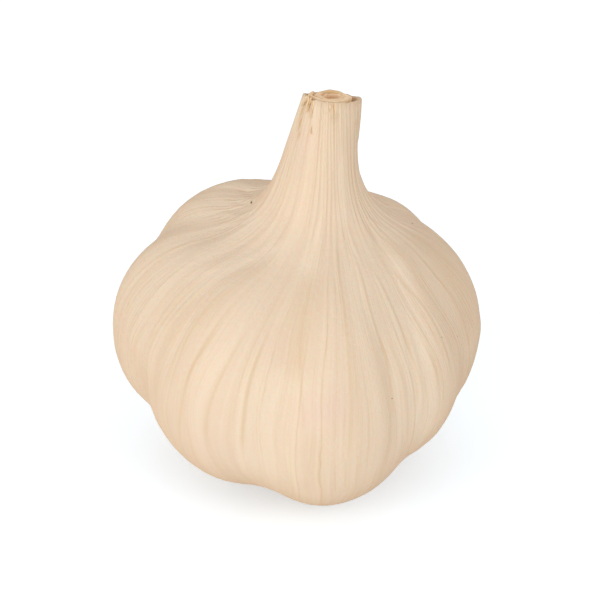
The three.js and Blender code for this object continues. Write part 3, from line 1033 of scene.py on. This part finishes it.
def shred_material(look):
    """Dry yellow-brown skin, darker where a strip is brown and at its tip."""
    material, tree, shader = new_material("dry_shred")
    grain = point_layer(tree, "grain")
    brown = split(tree, grain)["Z"]
    streaks = use_group(tree, "skin_fibres", {"Grain": grain, "Across": 30.0, "Along": 1.0})
    base = mix_colour(tree, remap(tree, brown, 0.1, 0.7), look.outer, look.dry)
    dark = remap(tree, streaks["Value"], 0.45, 0.7, 0.0, 0.7)
    fill_inputs(tree, shader, {
        "Base Color": mix_colour(tree, product(tree, dark, brown), base, look.brown),
        "Roughness": 0.7,
        "Normal": bump_node(tree, 0.5, 0.0001, streaks["Value"]),
    })
    return material


def root_material(look):
    """Dry corky brown with darker pits."""
    material, tree, shader = new_material("dry_root")
    place = object_place(tree)
    uneven = remap(tree, noise_node(tree, place, 180.0, 2.0), 0.35, 0.65)
    base = mix_colour(tree, uneven, look.dark, look.pale)
    pits = {"Place": place, "Scale": 700.0, "Share": 0.3, "Size": 0.4}
    pits = product(tree, use_group(tree, "dry_specks", pits)["Mask"], 0.6)
    fill_inputs(tree, shader, {
        "Base Color": mix_colour(tree, pits, base, look.dark),
        "Roughness": 0.9,
        "Normal": bump_node(tree, 0.8, 0.0003, noise_node(tree, place, 700.0, 5.0)),
    })
    return material


def floor_material(look):
    """Pale and matt, with a colour and a glow of its own to the camera."""
    material, tree, shader = new_material("pale_floor")
    seen = add_node(tree, "ShaderNodeLightPath").outputs["Is Camera Ray"]
    fill_inputs(tree, shader, {
        "Base Color": mix_colour(tree, seen, look.floor, look.floor_seen),
        "Roughness": 0.9,
        "Specular IOR Level": 0.0,
        "Emission Color": (*look.glow_seen, 1.0),
        "Emission Strength": seen,
    })
    return material


# Sizes and colours that a user would change

def length_property(name, description, default):
    """A property that holds a length."""
    return FloatProperty(
        name=name, description=description, default=default, unit="LENGTH", precision=6
    )


def factor_property(name, description, default):
    """A property that holds a strength, usually from 0 to 1."""
    return FloatProperty(name=name, description=description, default=default, subtype="FACTOR")


def power_property(name, description, default):
    """A property that holds a lamp's power."""
    return FloatProperty(name=name, description=description, default=default, unit="POWER")


def colour_property(name, description, default):
    """A property that holds a colour."""
    return FloatVectorProperty(
        name=name, description=description, default=default, subtype="COLOR"
    )


class WrapperLook(PropertyGroup):
    """The wrapper's fineness, relief and colours."""

    columns: IntProperty(name="Columns", description="Points round the skin", default=940, min=60)
    rows: IntProperty(name="Rows", description="Points up the skin", default=92, min=20)
    rib: length_property("Rib Height", "Relief of the neck's ribs", 0.000025)
    vein_height: length_property("Vein Height", "Relief of a vein", 0.00005)
    vein_width: length_property("Vein Width", "Half width of a vein", 0.00022)
    vein_count: IntProperty(
        name="Veins", description="Raised veins round the skin", default=30, min=0
    )
    sway: length_property("Unevenness", "Soft hollows of the skin", 0.00006)
    line_count: IntProperty(
        name="Lines", description="Fine lines round the skin", default=86, min=1
    )
    line_width: length_property("Line Width", "Half width of a fine line", 0.00018)
    ridge_width: length_property("Ridge Width", "Half width of the swelling round a line", 0.0004)
    line_height: length_property("Line Height", "Relief of a fine line", 0.00004)
    line_strength: factor_property("Line Strength", "How much a fine line is coloured", 0.42)
    faint_strength: factor_property("Faint Strength", "How much a faint line is coloured", 0.2)
    # How much painted shade warms the skin where it turns away.
    painted_edge_shade: factor_property(
        "Edge Strength", "How much warmer the skin is where it turns away", 0.5
    )
    vein_strength: factor_property("Vein Strength", "How much a vein is coloured", 0.45)
    cream: colour_property("Cream", "Main colour", (0.79, 0.62, 0.46))
    light: colour_property("Light", "Colour of light strips", (0.86, 0.70, 0.53))
    # Colours of the painted shade and the painted light strips.
    dull: colour_property("Dull", "Colour of dull strips", (0.71, 0.53, 0.36))
    pale: colour_property("Pale", "Colour of pale strips", (0.93, 0.77, 0.60))
    tan: colour_property("Tan", "Colour of fibres and neck", (0.74, 0.55, 0.36))
    vein: colour_property("Vein", "Colour of veins", (0.65, 0.45, 0.22))
    neck_line: colour_property("Neck Line", "Colour of lines on the neck", (0.55, 0.42, 0.30))
    # Colour of the painted shade where the skin turns away.
    edge: colour_property("Edge", "Colour where the skin turns away", (0.72, 0.47, 0.27))
    blush: colour_property("Blush", "Colour of faint patches", (0.80, 0.57, 0.47))
    stain: colour_property("Stain", "Colour of stains at the cut", (0.56, 0.36, 0.15))
    speck: colour_property("Speck", "Colour of specks", (0.25, 0.13, 0.05))


class NeckLook(PropertyGroup):
    """The rolled leaves in the cut end."""

    turns: FloatProperty(name="Turns", description="Turns of the roll", default=3.2, min=1.0)
    leaf: length_property("Leaf", "Thickness of a rolled leaf", 0.00084)
    # The outer colour is painted light from above; the inner colour is the leaves' own brown with
    # painted shade of the recess.
    outer: colour_property("Outer", "Colour of the outer turn", (0.97, 0.705, 0.452))
    inner: colour_property("Inner", "Colour of the inner turns", (0.66, 0.38, 0.19))
    brown: colour_property("Brown", "Colour of dry spots", (0.36, 0.19, 0.09))
    dry: colour_property("Dry", "Colour of torn strips", (0.66, 0.43, 0.18))


class RootLook(PropertyGroup):
    """The root plate and its trimmed roots."""

    count: IntProperty(name="Roots", description="Trimmed roots", default=110, min=1)
    thickness: length_property("Root Radius", "Radius of a root", 0.00035)
    pale: colour_property("Pale", "Colour of dry cork", (0.55, 0.40, 0.24))
    dark: colour_property("Dark", "Colour of pits and patches", (0.30, 0.19, 0.10))


class StageLook(PropertyGroup):
    """Floor, lights and camera."""

    elevation: FloatProperty(
        name="Camera Height", description="Angle of view down", default=np.radians(30.0),
        subtype="ANGLE",
    )
    distance: length_property("Camera Distance", "From the middle of the bulb", 0.272)
    lens: FloatProperty(name="Lens", description="Focal length", default=100.0, unit="CAMERA")
    aim: FloatVectorProperty(
        name="Aim", description="Point that the camera looks at", subtype="XYZ", unit="LENGTH",
        default=(0.00052, 0.0, 0.0286),
    )
    floor: colour_property("Floor", "Colour of the floor", (0.9, 0.9, 0.9))
    floor_seen: colour_property("Floor Seen", "Colour of the floor to the camera", (0.93, 1.0, 1.05))
    glow_seen: colour_property("Glow Seen", "Glow of the floor to the camera", (0.29, 0.31, 0.335))
    left: power_property("Left", "Light from the left", 2.54)
    low: power_property("Low", "Low light from the front", 1.56)
    right: power_property("Right", "Light from the right", 1.47)
    overhead: power_property("Overhead", "Light from above", 0.3)
    sky: FloatProperty(name="Sky", description="Brightness of the surroundings", default=0.66)


class GarlicSettings(PropertyGroup):
    """All settings of the dressed bulb."""

    wrapper: PointerProperty(type=WrapperLook)
    neck: PointerProperty(type=NeckLook)
    root: PointerProperty(type=RootLook)
    stage: PointerProperty(type=StageLook)


# Pieces

def rim_height(turn):
    """Height of the cut edge above its plane: small waves, dips, and a lower back."""
    draw = np.random.default_rng(5)
    ripple = RIM_RIPPLE * waves(turn, np.zeros(1), draw, 4, 23, 14, 0.0)
    torn = sum(
        depth * bell(side_distance(turn, np.radians(degrees)), half_width)
        for degrees, half_width, depth in RIM_DIPS
    )
    from_back = np.abs(side_distance(turn, RIM_BACK))
    return ripple - torn - RIM_BACK_DROP * (1.0 - smooth_step(from_back, *RIM_BACK_ENDS))


def stains(x, y, z):
    """Tan and brown stains: a bell round each place, wide, tall and strong as listed, and a tan
    edge that fades with the drop below the cut."""
    drop = cut_plane(x, y) - z
    azimuth = np.arctan2(y, x - neck_centre(z))
    total = np.zeros_like(x)
    for degrees, below, half_width, half_height, strength in NECK_STAINS:
        across = side_distance(azimuth, np.radians(degrees), STAINED_RADIUS) / half_width
        total += strength * np.exp(-(across**2) - ((drop - below) / half_height) ** 2)
    edge = EDGE_TAN * np.exp(-np.clip(drop, 0.0, None) / EDGE_TAN_DEPTH)
    return np.clip(total * (z > STAINS_ABOVE) + edge, 0.0, 1.0)


def skin_relief(look, turn, share, radius, on_neck):
    """Height of the skin's relief in millimetres: ribs, mostly on the neck, soft hollows, mostly
    on the body, raised veins and the table's folds. Also how tan its lines are."""
    draw = np.random.default_rng(11)
    ribs = waves(turn, share, draw, 34, 75, 26, 2.5)
    hollows = patches(turn, share, draw, (4, 17), 5.0, 24)
    vein = veins(turn, share, radius, draw, look.vein_count, look.vein_width / MM)
    relief = look.rib / MM * (RIBS_ON_BODY + RIBS_ON_NECK * on_neck) * ribs
    relief += look.sway / MM * (HOLLOWS_ON_NECK + HOLLOWS_ON_BODY * (1.0 - on_neck)) * hollows
    relief += look.vein_height / MM * np.clip(vein, 0.0, MOST_VEIN)
    fold_relief, fold_tan = folds(turn, share, radius)
    return relief + fold_relief, np.clip(VEIN_TAN * vein + fold_tan, 0.0, 1.0)


def wrapper_grid(look):
    """The skin with its relief, then over the rim, down the inside of the sheath and to the floor
    of the cut; below, in to the pocket of the root plate. Also its layers, which the rows past the
    skin have from its nearest row, and each row's rise on the UV map."""
    turn = FIRST_COLUMN + directions(look.columns)[None, :]
    share = np.linspace(0.0, 1.0, look.rows)
    points = skin_points(turn, share)
    share = share[:, None]
    x, y, z = np.moveaxis(points, -1, 0)
    on_neck = smooth_step(z, *NECK_BEGINS)
    radius = np.hypot(x - FIBRE_SHIFT * smooth_step(share, 0.0, FIBRES_SHIFTED), y)
    relief, tan = skin_relief(look, turn, share, radius, on_neck)
    relief = relief * smooth_step(share, *RELIEF_BEGINS)
    skin = points + grid_normals(points) * relief[..., None]
    skin[..., 2] += smooth_step(share, *NEAR_RIM) * rim_height(turn)
    layers = {
        "grain": np.stack(np.broadcast_arrays(np.cos(turn), np.sin(turn), share), -1),
        "marks": np.stack((tan, stains(x, y, z), on_neck), -1),
        # Painted shade and painted light of the strips.
        "tones": tones(turn, share, radius),
    }
    pocket, inner = pocket_rows(turn[0]), sheath_inside(skin[-1])
    before, after = [0] * len(pocket), [-1] * len(inner)
    for name, layer in layers.items():
        layers[name] = np.concatenate((layer[before], layer, layer[after]))
    rise = np.concatenate((np.zeros(len(pocket)), share[:, 0], np.ones(len(inner))))
    return np.concatenate((pocket, skin, inner)), layers, rise


def sheath_inside(rim):
    """Rows from the outer edge of the cut over its rounded rim and down its inner wall. Each row is
    the rim drawn in towards the neck's centre line by a depth and lowered by a drop. The wall is
    thicker at the right, by a bell curve of the direction."""
    centre = np.array((neck_centre(HEIGHT), 0.0))
    outward = rim[:, :2] - centre
    radius = np.linalg.norm(outward, axis=-1, keepdims=True)
    azimuth = np.arctan2(outward[:, 1:], outward[:, :1])
    thicker = 1.0 + WALL_THICKER * bell(azimuth, WALL_THICKER_WIDTH)
    rows = []
    for inset, drop in RIM_PROFILE:
        row = rim.copy()
        row[:, :2] = centre + outward * (radius - inset * thicker) / radius
        row[:, 0] -= NECK_LEAN * drop
        row[:, 2] -= drop
        rows.append(row)
    return np.array(rows)


def pocket_rows(turn):
    """The roof's edge and the mouth of the pocket that holds the root plate."""
    rows = []
    for height in (POCKET_ROOF, 0.5 * (POCKET_ROOF + COLLAR_HEIGHT), COLLAR_HEIGHT):
        ring = np.stack((POCKET_RADIUS * np.cos(turn), POCKET_RADIUS * np.sin(turn)), -1)
        rows.append(np.column_stack((ring, np.full(len(turn), height))))
    return np.array(rows)


class GARLIC_OT_wrapper(Operator):
    """The papery wrapper drawn over the cloves and up into the neck."""

    bl_idname = "garlic.wrapper"
    bl_label = "Wrapper"

    def execute(self, context):
        look = context.scene.garlic.wrapper
        piece = closed_grid("papery_wrapper", *wrapper_grid(look))
        finish_piece(piece, wrapper_material(look), "wrapper", "bulb")
        return {"FINISHED"}


def roll_outline(turn):
    """Radius of the roll in a direction: an ellipse, a little wavy, with a point at its right end
    and another at its left."""
    ellipse = 1.0 / np.hypot(np.cos(turn) / ROLL_HALF_WIDTH, np.sin(turn) / ROLL_HALF_DEPTH)
    swell = 1.0 + (0.012 * np.sin(3.0 * turn + 1.0) + 0.01 * np.sin(5.0 * turn))
    for degrees, half_width, height in ROLL_TIPS:
        swell += height * bell(side_distance(turn, np.radians(degrees)), half_width)
    return ellipse * swell


def neck_roll_grid(look):
    """A leaf rolled up: its middle runs on a spiral inside the roll's outline, tight outside and
    loose inside, and its section is a tall thin loop whose top edge sinks in the middle."""
    draw = np.random.default_rng(23)
    way = np.linspace(0.0, 1.0, ROLL_STEPS)
    turn = 2.0 * np.pi * look.turns * way + ROLL_START
    thickness = look.leaf / MM * np.interp(way, *ROLL_THICKNESS)
    radius = roll_outline(turn) * np.interp(way, *ROLL_CLOSING) - 0.5 * thickness
    ripple = waves(turn[:, None] / look.turns, np.zeros(1), draw, 6, 40, 16, 0.0)[:, 0]
    loop = directions(ROLL_SIDES)
    side = 0.5 * thickness[:, None] * np.clip(1.5 * np.cos(loop), -1.0, 1.0)
    lift = np.clip(0.5 + 0.6 * np.sin(loop), 0.0, 1.0)
    r = radius[:, None] + side
    x = neck_centre(HEIGHT) + r * np.cos(turn[:, None])
    y = ROLL_BACKWARD + r * np.sin(turn[:, None])
    top = -(np.interp(way, *ROLL_SINK) + ROLL_RIPPLE * ripple)[:, None]
    drop = ROLL_DEPTH * (1.0 - lift) - top * lift
    z = cut_plane(x, y) - drop
    x = x - NECK_LEAN * drop
    grain = np.stack((np.cos(turn), np.sin(turn), ROLL_SHARE * way), -1)
    return np.stack((x, y, z), -1), {"grain": grain[:, None, :].repeat(len(loop), 1)}


def heart_grid():
    """The dry stalk in the middle of the roll: a short lumpy dome."""
    draw = np.random.default_rng(29)
    turn = directions(HEART_SIDES)[None, :]
    radii, drops = np.array(HEART_PROFILE).T[..., None]
    rows = len(radii)
    lumps = waves(turn, np.linspace(0.0, 2.0, rows)[:, None], draw, 2, 9, 10, 3.0)
    radii = radii * (1.0 + HEART_UNEVEN * lumps)
    x = neck_centre(HEIGHT) + HEART_PLACE[0] + radii * np.cos(turn) - NECK_LEAN * drops
    y = HEART_PLACE[1] + radii * np.sin(turn)
    z = cut_plane(x, y) - drops + HEART_LUMPS * lumps
    grain = np.stack(np.broadcast_arrays(np.cos(turn), np.sin(turn), np.ones((rows, 1))), -1)
    return np.stack((x, y, z), -1), {"grain": grain}


def shred_grids():
    """Torn strips of the sheath: each runs down the neck from the cut with its tip standing off,
    and its section is a flat ellipse that narrows to the tip. One grid for each strip."""
    table = np.array(SHREDS)
    degrees, root, length, swing, off, half_width, brown = (column[:, None] for column in table.T)
    way = np.linspace(0.0, 1.0, SHRED_STEPS)[None, :]
    azimuth = np.radians(degrees + swing * way**1.5)
    drop = root + length * way
    z = cut_plane(neck_centre(HEIGHT), -NECK_TOP_RADIUS) - drop
    radius = neck_radius(z) + SHRED_CLEAR + off * way**2 * np.sin(2.2 * way)
    curl = 0.25 * np.sin(3.0 * way + degrees)
    wide = half_width * (1.0 - 0.8 * way**2) * (1.0 + curl)
    loop = directions(SHRED_SIDES)
    across = wide[..., None] * np.cos(loop)
    around = azimuth[..., None] + across / radius[..., None]
    out = radius[..., None] + SHRED_HALF_THICKNESS * np.sin(loop) - SHRED_BOW * across**2
    x = neck_centre(z)[..., None] + out * np.cos(around)
    y = out * np.sin(around)
    z = cut_plane(x, y) - drop[..., None]
    share = np.broadcast_to(brown[..., None] * (0.6 + 0.4 * way[..., None]), x.shape)
    return np.stack((x, y, z), -1), np.stack((np.cos(around), np.sin(around), share), -1)


class GARLIC_OT_neck_roll(Operator):
    """The dry inner leaves rolled up inside the cut end of the neck."""

    bl_idname = "garlic.neck_roll"
    bl_label = "Rolled Leaves"

    def execute(self, context):
        look = context.scene.garlic.neck
        material = leaf_material(look)
        roll = closed_grid("rolled_leaves", *neck_roll_grid(look))
        finish_piece(roll, material, "rolled_leaf", "neck_core")
        finish_piece(closed_grid("stalk_heart", *heart_grid()), material, "rolled_leaf")
        return {"FINISHED"}


class GARLIC_OT_shreds(Operator):
    """Torn strips of the sheath round the cut."""

    bl_idname = "garlic.shreds"
    bl_label = "Shreds"

    def execute(self, context):
        look = context.scene.garlic.neck
        strips = [
            closed_grid(f"shred_{index}", points, {"grain": grain})
            for index, (points, grain) in enumerate(zip(*shred_grids()))
        ]
        finish_piece(join_pieces("rim_shreds", strips), shred_material(look), "wrapper")
        return {"FINISHED"}


def plate_grid():
    """The root plate: from the middle of its underside out, up its rim and in over the top. The
    underside rises from the flat spot by shallow pits only."""
    draw = np.random.default_rng(31)
    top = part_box("root_plate")[1].z / MM
    turn = directions(PLATE_SIDES)[None, :]
    profile = PLATE_PROFILE + tuple((radius, top) for radius in PLATE_TOP_RADII)
    radii, heights = np.array(profile).T[..., None]
    rows = np.linspace(0.0, 3.0, len(profile))[:, None]
    rough = waves(turn, rows, draw, 8, 40, 20, 6.0)
    under = heights < PLATE_FLAT_BELOW
    radius = radii * (1.0 + np.where(under, 0.0, PLATE_UNEVEN * rough))
    height = heights + np.where(under, PLATE_PITS * np.clip(rough, 0.0, 2.0), 0.0)
    return np.stack((radius * np.cos(turn), radius * np.sin(turn), height + 0.0 * turn), -1)


def root_grids(look):
    """Trimmed roots: each is a tube along a short arc out of the plate, its radius falling a little
    to the tip. All are worked out at once, one grid for each root."""
    draw = np.random.default_rng(37)
    count = look.count
    angle = 2.0 * np.pi * (np.arange(count) + draw.uniform(-0.4, 0.4, count)) / count
    start, length, high, swing = (draw.uniform(*ends, count)[:, None] for ends in ROOT_RANGES)
    way = np.linspace(0.0, 1.0, ROOT_STEPS)
    loop = directions(ROOT_SIDES)
    radius = look.thickness / MM * draw.uniform(0.7, 1.1, count)[:, None]
    radius = radius * (1.0 - ROOT_TAPER * way**2)
    out = (start + length * way)[..., None]
    turn = (angle[:, None] + swing * way**2 * ROOT_BEND)[..., None]
    z = np.maximum(high - ROOT_DROOP * way**1.5, radius + ROOT_CLEAR)
    side = radius[..., None] * np.cos(loop)
    up = radius[..., None] * np.sin(loop)
    x = out * np.cos(turn) - side * np.sin(turn)
    y = out * np.sin(turn) + side * np.cos(turn)
    return np.stack((x, y, z[..., None] + up), -1)


class GARLIC_OT_root_plate(Operator):
    """The corky root plate and the trimmed roots round it."""

    bl_idname = "garlic.root_plate"
    bl_label = "Root Plate"

    def execute(self, context):
        look = context.scene.garlic.root
        material = root_material(look)
        plate = closed_grid("root_plate_cork", plate_grid())
        finish_piece(plate, material, "root", "root_plate")
        roots = [closed_grid(f"root_{index}", grid) for index, grid in enumerate(root_grids(look))]
        finish_piece(join_pieces("trimmed_roots", roots), material, "root")
        return {"FINISHED"}


def make_floor(look):
    """A square floor at the height that the bulb stands on."""
    mesh = bpy.data.meshes.new("floor")
    corners = [(x * FLOOR_HALF, y * FLOOR_HALF, 0.0) for x, y in FLOOR_CORNERS]
    mesh.from_pydata(corners, [], [(0, 1, 2, 3)])
    mesh.materials.append(floor_material(look))
    add_object("floor", mesh)


def make_world(look):
    """An even white light from all round."""
    world = bpy.data.worlds.new("studio")
    world.use_nodes = True
    background = world.node_tree.nodes["Background"]
    background.inputs["Color"].default_value = (1.0, 1.0, 1.0, 1.0)
    background.inputs["Strength"].default_value = look.sky
    bpy.context.scene.world = world


def area_light(name, place, aim, size, energy):
    """A square soft light at a place, turned towards a point."""
    lamp = bpy.data.lights.new(name, "AREA")
    lamp.shape = "SQUARE"
    lamp.size = size
    lamp.energy = energy
    light = add_object(name, lamp)
    light.location = place
    light.rotation_euler = (aim - Vector(place)).to_track_quat("-Z", "Y").to_euler()


def make_camera(look, aim):
    """A long lens in front of the bulb, looking down at its aim."""
    back = Vector((0.0, -np.cos(look.elevation), np.sin(look.elevation)))
    lens = bpy.data.cameras.new("camera")
    lens.lens = look.lens
    lens.clip_start = CLIP_START
    camera = add_object("camera", lens)
    camera.location = aim + back * look.distance
    camera.rotation_euler = (-back).to_track_quat("-Z", "Y").to_euler()
    bpy.context.scene.camera = camera


class GARLIC_OT_stage(Operator):
    """A plain pale floor, soft lights and the camera at the photograph's angle."""

    bl_idname = "garlic.stage"
    bl_label = "Stage"

    def execute(self, context):
        look = context.scene.garlic.stage
        aim = Vector(look.aim)
        make_floor(look)
        make_world(look)
        for name, place, size in LIGHTS:
            area_light(name, place, aim, size, getattr(look, name))
        make_camera(look, aim)
        context.scene.view_settings.view_transform = "Standard"
        return {"FINISHED"}


class GARLIC_PT_panel(Panel):
    """The operators and their settings, in the 3D view's sidebar."""

    bl_label = "Garlic Bulb"
    bl_idname = "GARLIC_PT_panel"
    bl_space_type = "VIEW_3D"
    bl_region_type = "UI"
    bl_category = "Garlic"

    def draw(self, context):
        settings = context.scene.garlic
        for operator, group in STEPS:
            self.layout.operator(operator.bl_idname)
            look = getattr(settings, group)
            for name in look.__annotations__:
                self.layout.prop(look, name)


STEPS = (
    (GARLIC_OT_wrapper, "wrapper"),
    (GARLIC_OT_neck_roll, "neck"),
    (GARLIC_OT_shreds, "neck"),
    (GARLIC_OT_root_plate, "root"),
    (GARLIC_OT_stage, "stage"),
)
CLASSES = (
    WrapperLook,
    NeckLook,
    RootLook,
    StageLook,
    GarlicSettings,
    *(operator for operator, _ in STEPS),
    GARLIC_PT_panel,
)


def register():
    for item in CLASSES:
        bpy.utils.register_class(item)
    bpy.types.Scene.garlic = PointerProperty(type=GarlicSettings)


def unregister():
    del bpy.types.Scene.garlic
    for item in reversed(CLASSES):
        bpy.utils.unregister_class(item)


def main():
    """Makes every piece and the stage."""
    register()
    bpy.ops.garlic.wrapper()
    bpy.ops.garlic.neck_roll()
    bpy.ops.garlic.shreds()
    bpy.ops.garlic.root_plate()
    bpy.ops.garlic.stage()


if __name__ == "__main__":
    main()
